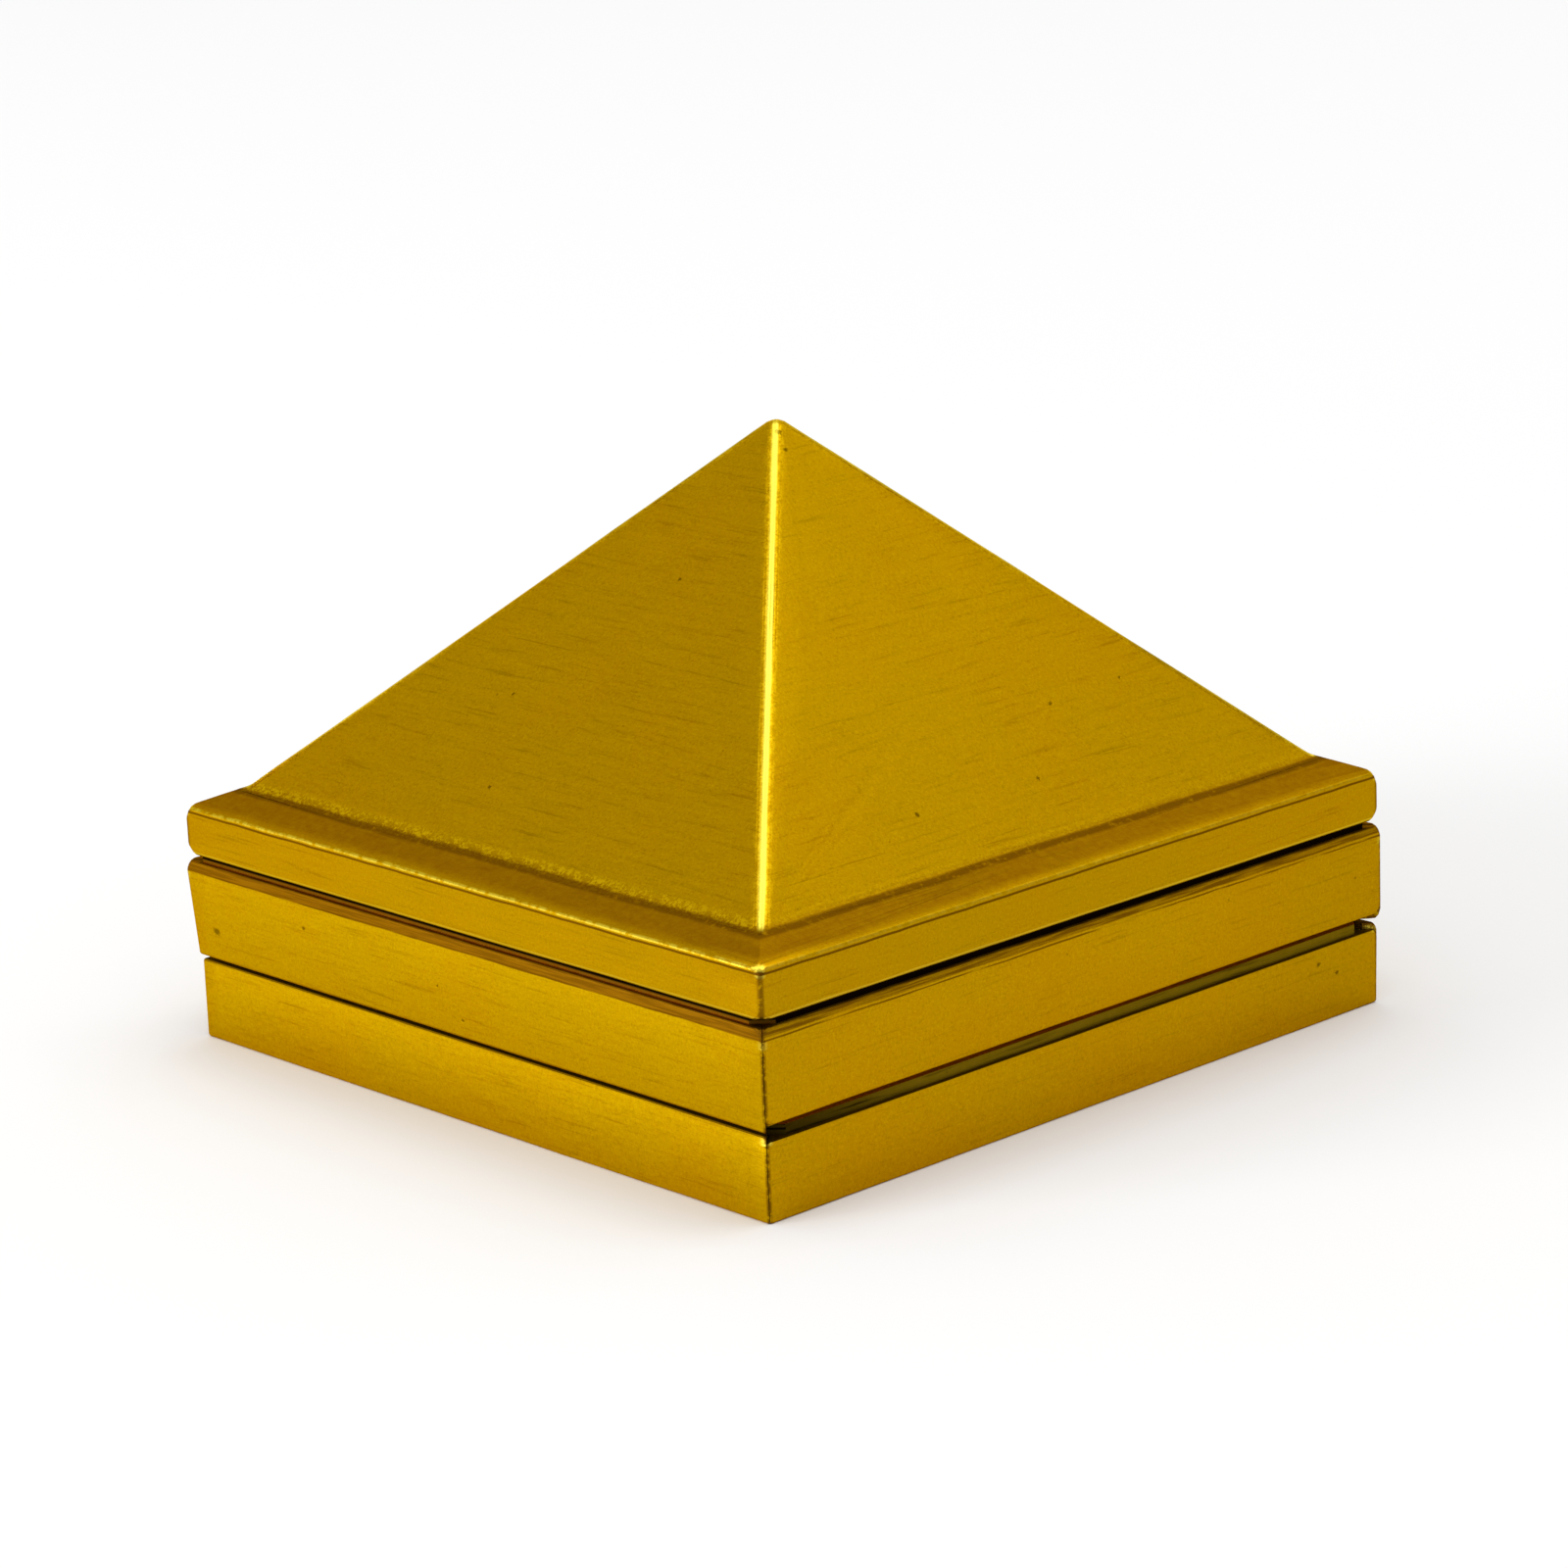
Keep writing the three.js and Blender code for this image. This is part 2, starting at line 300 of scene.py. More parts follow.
def ring_block(name, half, low, high, bar_width, top_step=None, bottom_step=None):
    """A square ring. A step is (width kept outside, rise of what lies inside it)."""
    ring = new_block(name, half, low, high)
    top_level, bottom_level = high, low
    top_left, bottom_left = bar_width, bar_width
    select_faces(ring, facing_up_at(high))
    if top_step:
        inset(top_step[0])
        extrude(top_step[1])
        top_level += top_step[1]
        top_left -= top_step[0]
    inset(top_left)
    select_faces(ring, facing_down_at(low))
    if bottom_step:
        inset(bottom_step[0])
        extrude(bottom_step[1])
        bottom_level += bottom_step[1]
        bottom_left -= bottom_step[0]
    inset(bottom_left)
    inner = half - bar_width

    def core(centre, normal):
        level = top_level if normal.z > 0 else bottom_level
        central = max(abs(centre.x), abs(centre.y)) < inner / 2
        return abs(normal.z) > 0.9 and near(centre.z, level) and central

    select_faces(ring, core)
    bpy.ops.mesh.bridge_edge_loops()
    return ring


def draw_in_left(ring, below, shift):
    """Moves the left side's outer face in below a level, where the hand-filed frames are narrower."""
    bpy.ops.mesh.select_mode(type="VERT")
    mesh = bmesh.from_edit_mesh(ring.data)
    outer = min(vertex.co.x for vertex in mesh.verts)
    for vertex in mesh.verts:
        vertex.select_set(vertex.co.x < outer + SIDE_DEPTH and vertex.co.z < below)
    bmesh.update_edit_mesh(ring.data)
    bpy.ops.transform.translate(value=(shift, 0, 0))


def bevel_outline(ring, half, top_width, chosen_corners, corner_width):
    def outer(a):
        return near(max(abs(a.x), abs(a.y)), half, ABOUT)

    def outer_edge(a, b):
        upright = near(a.x, b.x) and near(a.y, b.y)
        corner = upright and near(abs(a.x), half, ABOUT) and near(abs(a.y), half, ABOUT)
        return outer(a) and outer(b) and (corner or near(a.z, b.z))

    round_corner_points(ring, half, chosen_corners, corner_width)
    select_edges(ring, outer_edge)
    bevel(FRAME_EDGE_WIDTH, 3)
    if top_width:
        top = max(v.co.z for v in bmesh.from_edit_mesh(ring.data).verts)

        def top_line(a, b):
            on_top = near(a.z, top) and near(b.z, top)
            on_outside = max(abs(a.x), abs(a.y)) > half - 2 * FRAME_EDGE_WIDTH
            return on_top and on_outside and (a - b).length > SHORT_EDGE

        select_edges(ring, top_line)
        bevel(top_width, 4)


def subdivide_long_edges(ring, cuts):
    select_edges(ring, lambda a, b: (a - b).length > LONG_EDGE)
    bpy.ops.mesh.subdivide(number_cuts=cuts)


def cut_bar(ring, name, side, body):
    """One bar of a ring: a copy cut along the two diagonals that bound its side."""
    deselect_all()
    bar = ring.copy()
    bar.data = ring.data.copy()
    bar.name = name
    bar.data.name = name
    bpy.context.collection.objects.link(bar)
    bar.select_set(True)
    bpy.context.view_layer.objects.active = bar
    outward = Vector({"front": (0, -1, 0), "right": (1, 0, 0), "back": (0, 1, 0), "left": (-1, 0, 0)}[side])
    across = Vector((0, 0, 1)).cross(outward)
    for sign in (-1, 1):
        inwards = (outward + sign * across).normalized()
        bpy.ops.object.mode_set(mode="EDIT")
        bpy.ops.mesh.select_all(action="SELECT")
        bpy.ops.mesh.bisect(plane_co=inwards * MITRE_JOINT / 2, plane_no=inwards, use_fill=True,
                            clear_inner=True, clear_outer=False, threshold=1e-8)
        bpy.ops.object.mode_set(mode="OBJECT")
    smooth_by_angle(bar)
    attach(bar, body)
    return bar


def frame_bars(ring, prefix, node_prefix, sides, body):
    subdivide_long_edges(ring, BAR_LENGTH_CUTS)
    finish_edit(ring)
    hand_waviness(ring, FRAME_WAVINESS, FRAME_WAVE_SPREAD)
    bars = []
    for side in sides:
        bar = cut_bar(ring, f"{prefix}_{side}", side, body)
        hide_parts(f"{node_prefix}_{side}_bar")
        bars.append(bar)
    bpy.data.objects.remove(ring)
    return bars


def back_right_corner(place):
    return place.x > 0 and place.y > 0


def make_base_frame():
    rebate = (BAR_WIDTH - FLOOR_REBATE, FLOOR_THICKNESS)
    plain = ring_block("base_ring", BASE_HALF, 0, BASE_HIGH.z, BAR_WIDTH, (LIP_WIDTH, -LIP_HEIGHT), rebate)
    at_top = at_levels(BASE_HIGH.z)
    bevel_outline(plain, BASE_HALF, 0, lambda place: back_right_corner(place) and at_top(place),
                  BASE_CORNER_WIDTH)
    draw_in_left(plain, CAP_LOW.z, BASE_TAPER)
    bars = frame_bars(plain, "base_bar", "base_frame", ("front", "back", "left"), "base")
    low = ring_block("base_ring_right", BASE_HALF, 0, BASE_RIGHT_HIGH.z, BAR_WIDTH, None, rebate)
    bevel_outline(low, BASE_HALF, 0, at_levels(BASE_RIGHT_HIGH.z), BASE_CORNER_WIDTH)
    return bars + frame_bars(low, "base_bar", "base_frame", ("right",), "base")


def make_middle_frame():
    low, high = MIDDLE_LOW.z, MIDDLE_HIGH.z
    plain = ring_block("middle_ring", MIDDLE_HALF, low, high, BAR_WIDTH)
    at_top = at_levels(high)
    bevel_outline(plain, MIDDLE_HALF, FRAME_TOP_WIDTH,
                  lambda place: back_right_corner(place) or at_top(place), MIDDLE_CORNER_WIDTH)
    draw_in_left(plain, low + TAPER_TOP_RISE, MIDDLE_TAPER)
    bars = frame_bars(plain, "middle_bar", "middle_frame", ("front", "back", "left"), "middle")
    filed_low = low + RELIEF_HEIGHT
    filed = ring_block("middle_ring_right", MIDDLE_HALF, filed_low, high, BAR_WIDTH, None,
                       (RELIEF_DEPTH, -RELIEF_HEIGHT))
    bevel_outline(filed, MIDDLE_HALF, RIGHT_TOP_WIDTH, at_levels(filed_low, high), MIDDLE_CORNER_WIDTH)
    return bars + frame_bars(filed, "middle_bar", "middle_frame", ("right",), "middle")


# Shader expressions

class Shade:
    """A material's node tree, with sockets that take part in plain arithmetic."""

    def __init__(self, name):
        self.material = bpy.data.materials.new(name)
        self.material.use_nodes = True
        self.nodes = self.material.node_tree.nodes
        self.links = self.material.node_tree.links
        self.nodes.clear()

    def node(self, kind, settings=None, **inputs):
        made = self.nodes.new(kind)
        for key, value in (settings or {}).items():
            setattr(made, key, value)
        for key, value in inputs.items():
            slot = made.inputs[int(key[1:])] if key[0] == "i" and key[1:].isdigit() else made.inputs[key]
            if isinstance(value, Value):
                self.links.new(value.socket, slot)
            else:
                slot.default_value = value
        return made

    def value(self, made, output=0):
        return Value(self, made.outputs[output])

    def noise(self, vector, scale, detail, roughness):
        made = self.node("ShaderNodeTexNoise", {"noise_dimensions": "3D"},
                         Vector=vector, Scale=scale, Detail=detail, Roughness=roughness)
        return self.value(made, "Fac")

    def vector(self, x, y, z):
        return self.value(self.node("ShaderNodeCombineXYZ", X=x, Y=y, Z=z))

    def mix(self, factor, first, second):
        made = self.node("ShaderNodeMix", {"data_type": "RGBA"}, i0=factor, i6=first, i7=second)
        return Value(self, made.outputs[2])

    def ramp(self, value, low, high):
        """0 below low, 1 above high, smooth between. low may be the greater one."""
        made = self.node("ShaderNodeMapRange", {"interpolation_type": "SMOOTHSTEP"}, Value=value)
        if low < high:
            ends = (low, high, 0.0, 1.0)
        else:
            ends = (high, low, 1.0, 0.0)
        for socket, number in zip(("From Min", "From Max", "To Min", "To Max"), ends):
            made.inputs[socket].default_value = number
        return self.value(made)


class Value:
    def __init__(self, shade, socket):
        self.shade = shade
        self.socket = socket

    def math(self, operation, *others):
        made = self.shade.node("ShaderNodeMath", {"operation": operation}, i0=self)
        for index, other in enumerate(others, start=1):
            if isinstance(other, Value):
                self.shade.links.new(other.socket, made.inputs[index])
            else:
                made.inputs[index].default_value = other
        return self.shade.value(made)

    def __add__(self, other):
        return self.math("ADD", other)

    __radd__ = __add__

    def __mul__(self, other):
        return self.math("MULTIPLY", other)

    def __sub__(self, other):
        return self.math("SUBTRACT", other)

    def __rsub__(self, other):
        return self.math("MULTIPLY_ADD", -1.0, other)

    def __abs__(self):
        return self.math("ABSOLUTE")

    def min(self, other):
        return self.math("MINIMUM", other)

    def max(self, other):
        return self.math("MAXIMUM", other)


def band(shade, value, low, high, soft):
    """1 between low and high, falling to 0 over soft outside them."""
    return shade.ramp(value, low - soft, low) * shade.ramp(value, high + soft, high)


BRASS = (0.525, 0.288, 0.0007, 1)
BRASS_WARM = (0.49, 0.243, 0.0007, 1)
BRASS_OLIVE = (0.46, 0.264, 0.0008, 1)
# pale brass for worn spots on the plates, and for the painted highlights on the cap's ridges and edges and
# the frames' corner glints
BRASS_WORN_AND_HIGHLIGHT = (0.92, 0.74, 0.07, 1)
# brighter brass for random speckle, and for the glitter and painted glints near the cap's foot and ridges
BRASS_BRIGHT = (0.72, 0.46, 0.006, 1)
COPPER = (0.25, 0.1, 0.004, 1)
OLIVE_SHADE = (0.17, 0.11, 0.004, 1)
# dark brown for real tarnish, stains and scores, and for painted shade and dark reflections on corners, under
# edges, beside gaps and on the frames' right side
TARNISH_AND_SHADE = (0.13, 0.052, 0.002, 1)
# near black for the pits, and for painted shade at the cap's bottom edge, in the gaps, on the ledge and on
# the plates' edges in the seams
SHADE_AND_PIT_BLACK = (0.006, 0.003, 0.001, 1)
EDGE_TINT = (1.0, 0.62, 0.03, 1)      # colour of the brass where it is seen at a flat angle
FLOOR_COLOUR = (0.96, 0.96, 0.96, 1)

SATIN = 0.4
DULL_SATIN = 0.45
GRAIN_DEPTH = 0.02 * MM
BUMP_STRENGTH = 0.5
# The frames' lit front side is tinted more yellow and the shaded right bars less yellow: painted light and
# shade between the two sides.
LIT_SIDE_YELLOWNESS = 1.09
SHADED_SIDE_YELLOWNESS = 0.97

# Casting pits and scratches in millimetres, as (across, height, radius) on the front and right sides
FRONT_PITS = ((1.0, 23.0, 0.06), (-4.7, 17.8, 0.06), (-2.5, 14.5, 0.07), (-18.0, 5.6, 0.16),
              (-11.2, 7.1, 0.08), (-1.5, 6.3, 0.06), (0.2, 5.0, 0.06))
RIGHT_PITS = ((4.8, 16.8, 0.07), (1.4, 14.4, 0.07), (-6.3, 14.4, 0.08), (9.7, 17.0, 0.05), (15.7, 2.9, 0.1),
              (17.0, 2.2, 0.08), (-0.1, 28.8, 0.1), (-0.4, 28.1, 0.08))


class Spot:
    """Where a shaded point lies, in millimetres, with the noises that every brass shares."""

    def __init__(self, shade):
        coords = shade.value(shade.node("ShaderNodeTexCoord"), "Object")
        parts = shade.node("ShaderNodeSeparateXYZ", Vector=coords)
        self.x, self.y, self.z = (shade.value(parts, axis) * 1000 for axis in "XYZ")
        facing = shade.node("ShaderNodeSeparateXYZ",
                            Vector=shade.value(shade.node("ShaderNodeNewGeometry"), "Normal"))
        across_x = abs(shade.value(facing, "X")) - abs(shade.value(facing, "Y"))
        self.on_x_side = shade.ramp(across_x, -0.02, 0.02)
        self.level = shade.ramp(abs(shade.value(facing, "Z")), 0.6, 0.9)
        self.along = self.x * (1 - self.on_x_side) + self.y * self.on_x_side
        side = self.on_x_side * 37.0
        self.streaks = shade.noise(shade.vector(self.along * 0.22, side, self.z * 5.5), 1.0, 3.0, 0.6)
        self.fine = shade.noise(shade.vector(self.along * 1.4, side + 11.0, self.z * 21.0), 1.0, 3.0, 0.7)
        self.scores = shade.noise(shade.vector(self.along * 0.12, side + 53.0, self.z * 9.0), 1.0, 1.0, 0.5)
        self.mottle = shade.noise(shade.vector(self.x + 3.1, self.y, self.z), 2.6, 3.0, 0.6)
        self.speckle = shade.noise(shade.vector(self.x, self.y + 5.0, self.z), 8.0, 2.0, 0.7)
        self.cloud = shade.noise(shade.vector(self.x + 71.0, self.y, self.z), 0.13, 2.0, 0.5)
        self.wobble = (shade.noise(shade.vector(self.x, self.y, self.z + 31.0), 0.35, 2.0, 0.6) - 0.5) * 0.5


def pit_mask(shade, spot):
    """1 in each pit of the front and right sides, with a soft edge."""
    front = shade.ramp(spot.y, 0.0, -0.2) * (1 - spot.on_x_side)
    right = shade.ramp(spot.x, 0.0, 0.2) * spot.on_x_side
    total = None
    for side, pits in ((front, FRONT_PITS), (right, RIGHT_PITS)):
        for across, height, radius in pits:
            sideways = (spot.along - across) * 0.7
            upwards = spot.z - height
            distance = (sideways * sideways + upwards * upwards).math("POWER", 0.5)
            ragged = distance + (spot.speckle - 0.5) * 0.15
            pit = shade.ramp(ragged, radius * 1.5, radius * 0.5) * side
            total = pit if total is None else total.max(pit)
    return total


def brushed_brass(name, marks, roughness=SATIN, pitted=False, yellowness=1.0):
    """Satin brass. marks(shade, spot) gives stain colours with painted glints and shade, tarnished places
    with painted dark reflections, painted shade, wear with painted highlights, and sparkle.
    """
    shade = Shade(name)
    spot = Spot(shade)
    stains_and_painted_light, tarnish_and_shade, painted_shade, wear_and_highlight, sparkle = marks(shade, spot)
    grain = spot.streaks * 0.45 + spot.fine * 0.55
    base = shade.mix(shade.ramp(spot.mottle * 0.4 + spot.cloud * 0.6, 0.4, 0.62), BRASS_OLIVE, BRASS_WARM)
    red, green, blue, alpha = BRASS
    base = shade.mix(shade.ramp(grain, 0.34, 0.6) * 0.9, base, (red, green * yellowness, blue, alpha))
    base = shade.mix(shade.ramp(spot.speckle, 0.5, 0.7) * 0.28, base, BRASS_BRIGHT)
    base = shade.mix(shade.ramp(spot.speckle, 0.45, 0.3) * 0.24, base, TARNISH_AND_SHADE)
    base = shade.mix(shade.ramp(spot.streaks, 0.42, 0.3) * 0.2, base, TARNISH_AND_SHADE)
    # stain colours, among them the painted glints and painted shade of the marks
    for mask, colour in stains_and_painted_light:
        base = shade.mix(mask, base, colour)
    # pale brass where worn, and as painted highlights
    base = shade.mix(wear_and_highlight, base, BRASS_WORN_AND_HIGHLIGHT)
    scored = shade.ramp(spot.scores, 0.7, 0.78) * 0.25
    # darkened for tarnish and scores, and for painted shade and dark reflections
    base = shade.mix(tarnish_and_shade.max(scored), base, TARNISH_AND_SHADE)
    pit_noise = shade.noise(shade.vector(spot.x + 19.0, spot.y, spot.z), 1.9, 1.0, 0.5)
    pits = shade.ramp(pit_noise, 0.81, 0.85) * 0.6
    if pitted:
        pits = pits.max(pit_mask(shade, spot))
    # near black in the pits and in the painted shade
    base = shade.mix(painted_shade.max(pits * 0.6), base, SHADE_AND_PIT_BLACK)

    height = grain * 0.6 + spot.mottle * 0.2 + sparkle * spot.speckle - pits * 1.2 - scored * 0.6
    bump = shade.node("ShaderNodeBump", Height=height)
    bump.inputs["Strength"].default_value = BUMP_STRENGTH
    bump.inputs["Distance"].default_value = GRAIN_DEPTH
    principled = shade.node("ShaderNodeBsdfPrincipled")
    principled.inputs["Metallic"].default_value = 1.0
    principled.inputs["Specular Tint"].default_value = EDGE_TINT
    shade.links.new(base.socket, principled.inputs["Base Color"])
    rough = shade.ramp(grain, 0.2, 0.8) * 0.12 + (roughness - 0.06)
    rough = rough + painted_shade * 0.35 + tarnish_and_shade * 0.12 - wear_and_highlight * 0.12
    shade.links.new(rough.socket, principled.inputs["Roughness"])
    shade.links.new(bump.outputs[0], principled.inputs["Normal"])
    output = shade.node("ShaderNodeOutputMaterial")
    shade.links.new(principled.outputs[0], output.inputs["Surface"])
    return shade.material


def upright_edge(shade, spot, width):
    """1 on the four upright corner edges, within width millimetres of them."""
    return shade.ramp(abs(abs(spot.x) - abs(spot.y)), width, width * 0.25)


def from_ridge(shade, spot):
    """Distance across the pyramid from its nearest ridge, with the lean of the apex taken out."""
    risen = (spot.z - FOOT_LEVEL / MM) * (MM / PYRAMID_HEIGHT)
    risen = risen.max(0.0)
    x = spot.x - risen * (APEX_LEAN.x / MM)
    y = spot.y - risen * (APEX_LEAN.y / MM)
    return abs(abs(x) - abs(y))


def cap_marks(shade, spot):
    bottom = CAP_LOW.z / MM
    rim_top = RIM_TOP / MM
    foot = FOOT_LEVEL / MM
    z = spot.z + spot.wobble * 0.2
    on_rim = shade.ramp(spot.z, rim_top, rim_top - 0.15)
    # painted dark reflection along the rim's rounded upright corners
    corner_line = upright_edge(shade, spot, 0.3) * on_rim * shade.ramp(spot.speckle + spot.mottle, 0.75, 0.95)
    groove = band(shade, z, foot - 0.17, foot - 0.08, 0.09) * shade.ramp(spot.mottle, 0.22, 0.48)
    # painted dark reflection in a thin line just below the rim's top edge
    under_edge_dark_reflection = band(shade, z, rim_top - 0.24, rim_top - 0.18, 0.05)
    inside = shade.ramp(abs(spot.x).max(abs(spot.y)), 17.7, 17.5) * shade.ramp(spot.z, rim_top, rim_top - 0.3)
    # patina in the foot groove, darker inside the hollow, and painted dark reflections on the rim's corners
    # and under its top edge
    tarnish_and_shade = (corner_line * 0.75 + groove * 0.75 + under_edge_dark_reflection * 0.9 + inside * 0.5).min(1.0)
    flange = band(shade, z, rim_top + 0.3, foot - 0.1, 0.3) * (spot.mottle * 0.6 + 0.32)
    grains = spot.speckle * 0.5 + spot.mottle * 0.5
    front_only = 1 - spot.on_x_side * 0.75
    # bright glitter just above the foot and painted glints beside the ridges, stronger on the lit front side
    glitter = band(shade, z, foot - 0.02, foot + 0.16, 0.22) * shade.ramp(grains, 0.46, 0.58) * front_only
    off_ridge = from_ridge(shade, spot)
    ridge_side = shade.ramp(off_ridge, 0.8, 0.2) * shade.ramp(spot.z, foot, foot + 0.3)
    glitter_and_glints = (glitter + ridge_side * shade.ramp(grains, 0.44, 0.58)).min(1.0)
    stains_and_painted_light = ((on_rim * 0.12, TARNISH_AND_SHADE), (flange, COPPER), (glitter_and_glints * 0.8, BRASS_BRIGHT))
    # painted highlight along the ridges, with a wavering width
    ridge_highlight_width = 0.29 + spot.wobble * 0.3
    ridge_highlight = shade.ramp(off_ridge - ridge_highlight_width, 0.0, -0.2) * shade.ramp(spot.z, foot - 0.1, foot)
    # painted highlight on the rim's top edge, mostly on the lit front side
    rim_edge_highlight = band(shade, z, rim_top - 0.06, rim_top + 0.02, 0.05) * front_only
    rim_edge_highlight = rim_edge_highlight * shade.ramp(spot.mottle, 0.35, 0.6)
    # painted highlight in a faint line along the cap's bottom edge
    bottom_edge_highlight = band(shade, z, bottom + 0.08, bottom + 0.14, 0.05) * 0.25
    corner_glint = upright_edge(shade, spot, 0.4) * band(shade, z, rim_top - 0.3, rim_top, 0.15)
    wear_and_highlight = (ridge_highlight + rim_edge_highlight * 0.6 + bottom_edge_highlight + corner_glint * 0.8).min(1.0)
    # painted shade along the cap's bottom edge, where it sits on the plate
    painted_shade = shade.ramp(spot.z, bottom + 0.08, bottom) * 0.9
    beside_ridge = shade.ramp(off_ridge, 1.6, 0.4) * shade.ramp(spot.z, foot, foot + 0.5)
    sparkle = 0.35 + (band(shade, z, foot, foot + 0.4, 0.4) * front_only + beside_ridge) * 1.1
    return stains_and_painted_light, tarnish_and_shade, painted_shade, wear_and_highlight, sparkle


def frame_marks(shade, spot):
    middle_low = MIDDLE_LOW.z / MM
    middle_top = MIDDLE_HIGH.z / MM
    base_top = BASE_HIGH.z / MM
    z = spot.z + spot.wobble * 0.2
    # dark line on the upright corners: partly the mitre joint, partly a painted dark reflection on the
    # rounded corner
    corner_line = upright_edge(shade, spot, 0.24) * shade.ramp(spot.speckle + spot.mottle, 0.8, 1.05)
    # painted shade along the tier edges beside the gaps between the tiers
    upper_gap_shade = band(shade, z, middle_low, middle_low + 0.1, 0.06)
    lower_gap_shade = band(shade, z, base_top - 0.1, base_top, 0.06)
    band_edge = band(shade, z, middle_top - 0.52, middle_top - 0.48, 0.05)
    band_edge = band_edge * shade.ramp(spot.streaks, 0.4, 0.55)
    tarnish_and_shade = (corner_line * 0.85 + band_edge * 0.8 + (upper_gap_shade + lower_gap_shade) * 0.35).min(1.0)
    on_front = 1 - spot.on_x_side
    copper_band = shade.ramp(z, middle_top - 0.58, middle_top - 0.46) * on_front
    # painted shade, streaked brown, on the rounded top edge of the right side
    right_top_edge_shade = shade.ramp(z, middle_top - 0.42, middle_top - 0.3) * spot.on_x_side
    stripe_noise = shade.noise(shade.vector(spot.along * 0.3, 7.0, spot.z * 9.0), 1.0, 2.0, 0.6)
    stripes = shade.ramp(stripe_noise, 0.42, 0.58)
    smears = shade.ramp(spot.cloud * 0.5 + spot.streaks * 0.5, 0.55, 0.66) * 0.3
    # painted shade, darker towards the far end of the right side
    far_end_shade = shade.ramp(spot.y, 4.0, 20.0) * spot.on_x_side * 0.14
    # copper stripes on the front, and the streaked painted shade on the right side's top edge
    band_stripes = (copper_band * stripes * 0.55).max(right_top_edge_shade * (stripes * 0.4 + 0.5))
    stains_and_painted_light = ((smears, BRASS_WARM), (far_end_shade, TARNISH_AND_SHADE), (copper_band * 0.9, COPPER), (band_stripes, TARNISH_AND_SHADE))
    gap_shade = shade.ramp(z, middle_top - 0.05, middle_top) * 0.4 * spot.on_x_side
    # painted shade on the upward ledge of the base under the middle tier
    ledge_shade = band(shade, spot.z, base_top - 0.55, base_top + 0.1, 0.05) * spot.level * 0.8
    glint = upright_edge(shade, spot, 0.5) * band(shade, z, base_top - 0.35, base_top - 0.15, 0.12)
    top_glint = upright_edge(shade, spot, 0.4) * band(shade, z, middle_top - 0.85, middle_top - 0.6, 0.1)
    wear_and_highlight = (glint + top_glint * 0.5).min(1.0) * 0.7
    return stains_and_painted_light, tarnish_and_shade, gap_shade.max(ledge_shade), wear_and_highlight, 0.25 + upright_edge(shade, spot, 0.9) * 0.6


def plate_marks(shade, spot, edge_colour, edge_shade):
    """Stains on a plate, and the colour and painted shade of its edge where it shows in a seam."""
    outside = shade.ramp(abs(spot.x).max(abs(spot.y)), 18.4, 18.9)
    edge = outside * (1 - spot.level)
    stain = shade.ramp(spot.mottle, 0.35, 0.75) * 0.3
    return ((outside * 0.35, TARNISH_AND_SHADE), (edge, edge_colour)), stain, edge * edge_shade, stain * 0.2, stain


def upper_plate_marks(shade, spot):
    plate_bottom = MIDDLE_HIGH.z / MM
    in_shadow = shade.ramp(spot.z, plate_bottom + 0.08, plate_bottom + 0.2)
    return plate_marks(shade, spot, COPPER, in_shadow.max(spot.on_x_side))


def lower_plate_marks(shade, spot):
    # painted shade on the lower plate's edge, deepest near the front corner and broken by streaks
    near_front = shade.ramp(spot.y, -9.0, -19.0) * 0.7 + shade.ramp(spot.streaks, 0.5, 0.3) * 0.45
    return plate_marks(shade, spot, OLIVE_SHADE, near_front.min(1.0))


def give(piece, material):
    piece.data.materials.clear()
    piece.data.materials.append(material)
    for polygon in piece.data.polygons:
        polygon.material_index = 0


# Floor, light and camera

def make_floor():
    deselect_all()
    bpy.ops.mesh.primitive_plane_add(size=6, location=(0, 0, 0))
    floor = bpy.context.object
    floor.name = "studio_floor"
    shade = Shade("pale_floor")
    diffuse = shade.node("ShaderNodeBsdfDiffuse")
    diffuse.inputs["Color"].default_value = FLOOR_COLOUR
    output = shade.node("ShaderNodeOutputMaterial")
    shade.links.new(diffuse.outputs[0], output.inputs["Surface"])
    floor.data.materials.append(shade.material)


def make_world():
    world = bpy.data.worlds.new("pale_studio")
    bpy.context.scene.world = world
    world.use_nodes = True
    nodes = world.node_tree.nodes
    nodes.clear()
    dome = nodes.new("ShaderNodeBackground")
    dome.inputs["Color"].default_value = (1, 1, 1, 1)
    dome.inputs["Strength"].default_value = DOME_LEVEL
    output = nodes.new("ShaderNodeOutputWorld")
    world.node_tree.links.new(dome.outputs[0], output.inputs["Surface"])


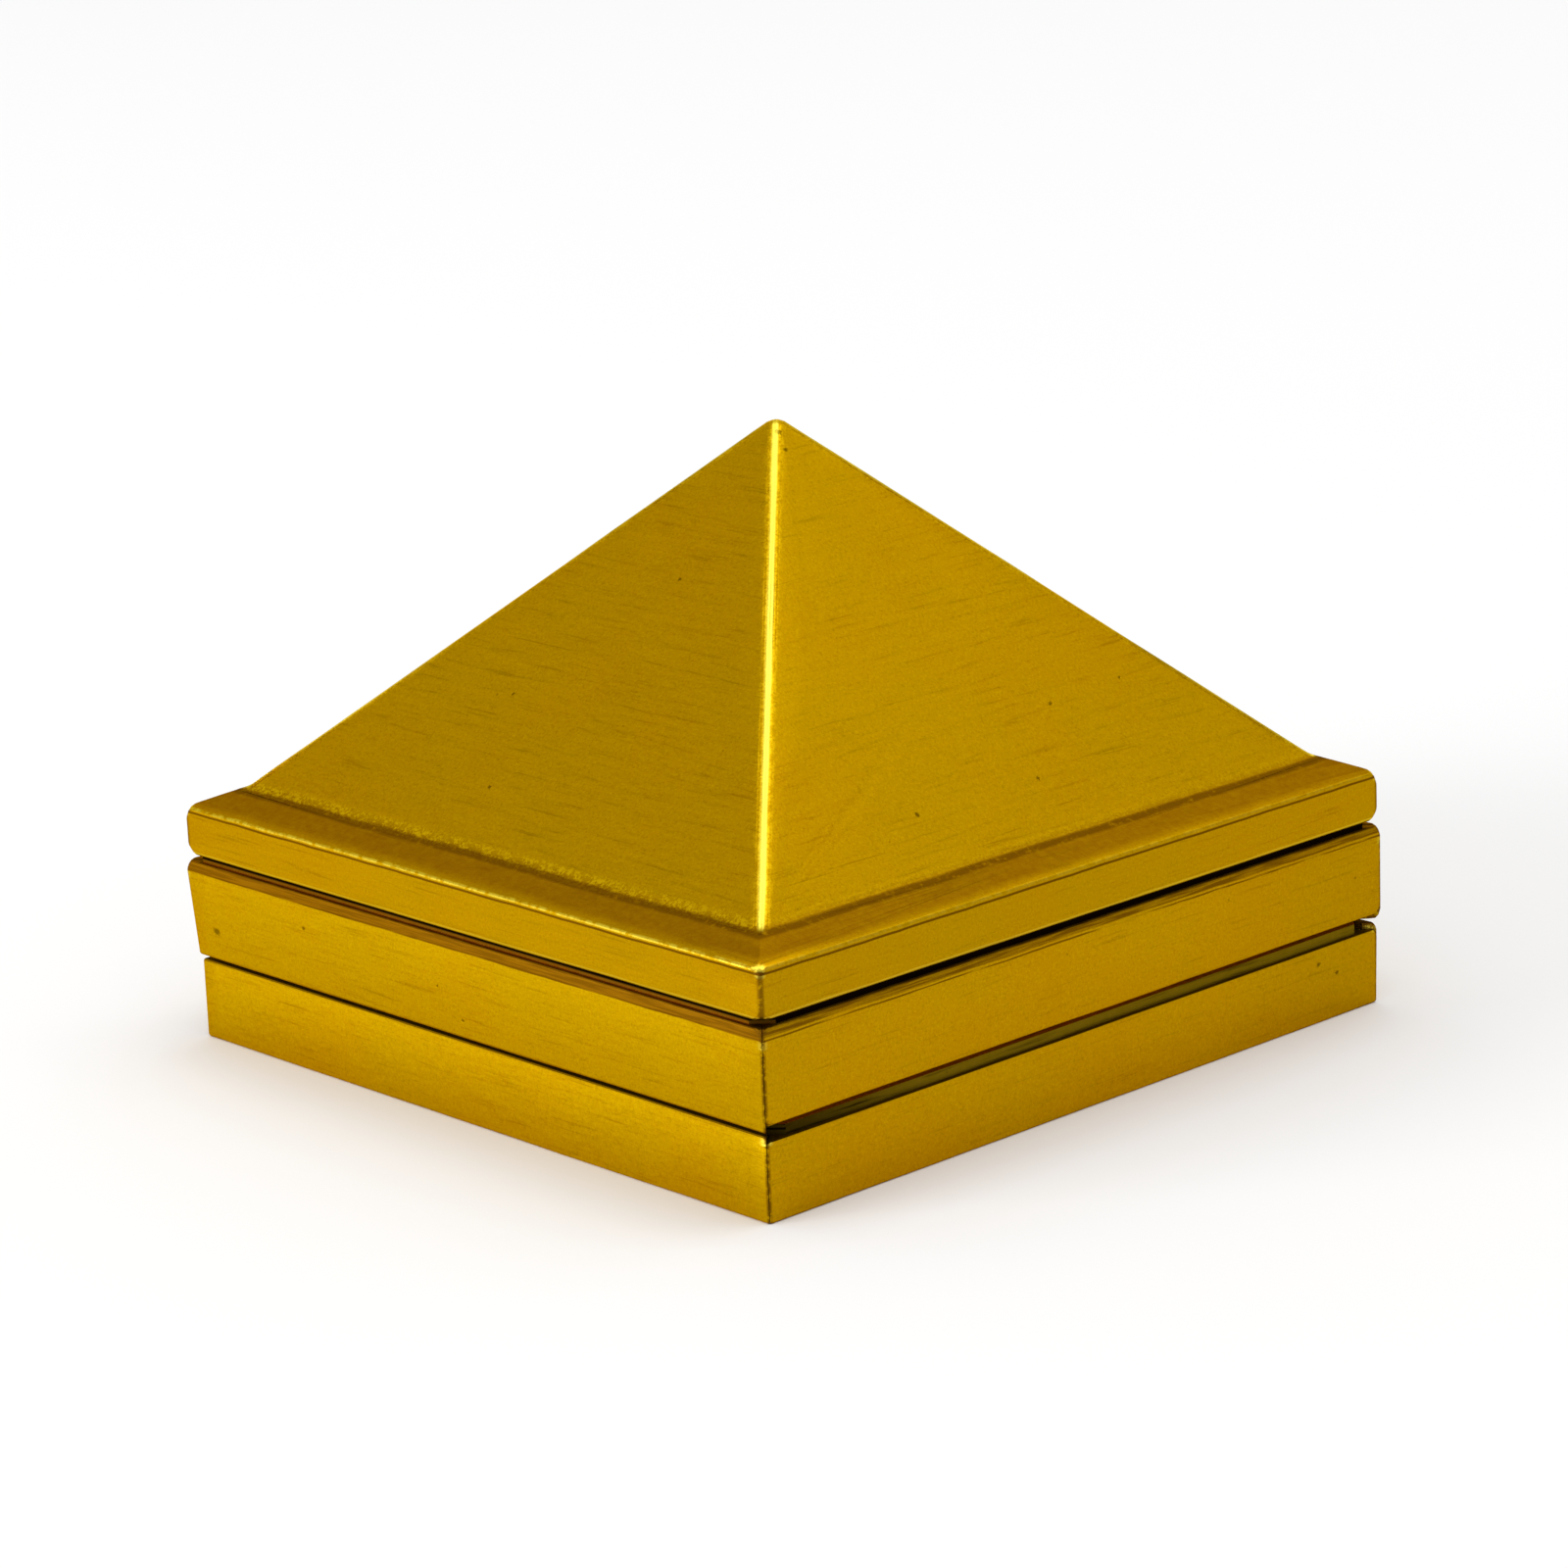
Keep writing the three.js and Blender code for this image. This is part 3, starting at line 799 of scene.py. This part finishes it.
def softbox(name, location, size, glow):
    """A square light facing the object, with glow as its brightness beside a white surface's 1."""
    deselect_all()
    bpy.ops.object.light_add(type="AREA", location=location)
    light = bpy.context.object
    light.name = name
    light.data.shape = "SQUARE"
    light.data.size = size
    light.data.energy = glow * math.pi * size * size
    light.rotation_mode = "QUATERNION"
    light.rotation_quaternion = (-Vector(location)).to_track_quat("-Z", "Y")
    light.visible_camera = False
    return light


def make_camera():
    azimuth, elevation = CAMERA_AZIMUTH, CAMERA_ELEVATION
    back = Vector((math.sin(azimuth) * math.cos(elevation), -math.cos(azimuth) * math.cos(elevation),
                   math.sin(elevation)))
    right = Vector((0, 0, 1)).cross(back).normalized()
    up = back.cross(right)
    turned_right = right * math.cos(CAMERA_ROLL) + up * math.sin(CAMERA_ROLL)
    turned_up = -right * math.sin(CAMERA_ROLL) + up * math.cos(CAMERA_ROLL)
    deselect_all()
    bpy.ops.object.camera_add()
    camera = bpy.context.object
    camera.name = "photo_camera"
    camera.data.sensor_width = CAMERA_SENSOR
    camera.data.lens = CAMERA_LENS
    camera.data.clip_start = 0.005
    camera.data.clip_end = 20
    turn = Matrix((turned_right, turned_up, back)).transposed()
    camera.matrix_world = Matrix.Translation(CAMERA_AIM + back * CAMERA_DISTANCE) @ turn.to_4x4()
    bpy.context.scene.camera = camera


make_camera()
make_floor()
make_world()
for light in SOFTBOXES:
    softbox(*light)

cap_brass = brushed_brass("cap_satin_brass", cap_marks, pitted=True)
frame_brass = brushed_brass("frame_yellow_brass", frame_marks, pitted=True, yellowness=LIT_SIDE_YELLOWNESS)
# a less yellow copy of the frame brass, painted for the shaded right side
shaded_right_bar_brass = brushed_brass("right_bar_shaded_brass", frame_marks, pitted=True,
                                yellowness=SHADED_SIDE_YELLOWNESS)
upper_plate_brass = brushed_brass("upper_plate_brass", upper_plate_marks, DULL_SATIN)
lower_plate_brass = brushed_brass("lower_plate_brass", lower_plate_marks, DULL_SATIN)

give(make_cap(), cap_brass)
for bar in make_base_frame() + make_middle_frame():
    give(bar, shaded_right_bar_brass if bar.name.endswith("right") else frame_brass)
give(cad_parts["nine_pyramid_plate"], upper_plate_brass)
for plate in ("eighty_one_pyramid_plate", "base_floor_plate"):
    give(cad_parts[plate], lower_plate_brass)

bpy.context.scene.view_settings.view_transform = "Standard"

deselect_all()
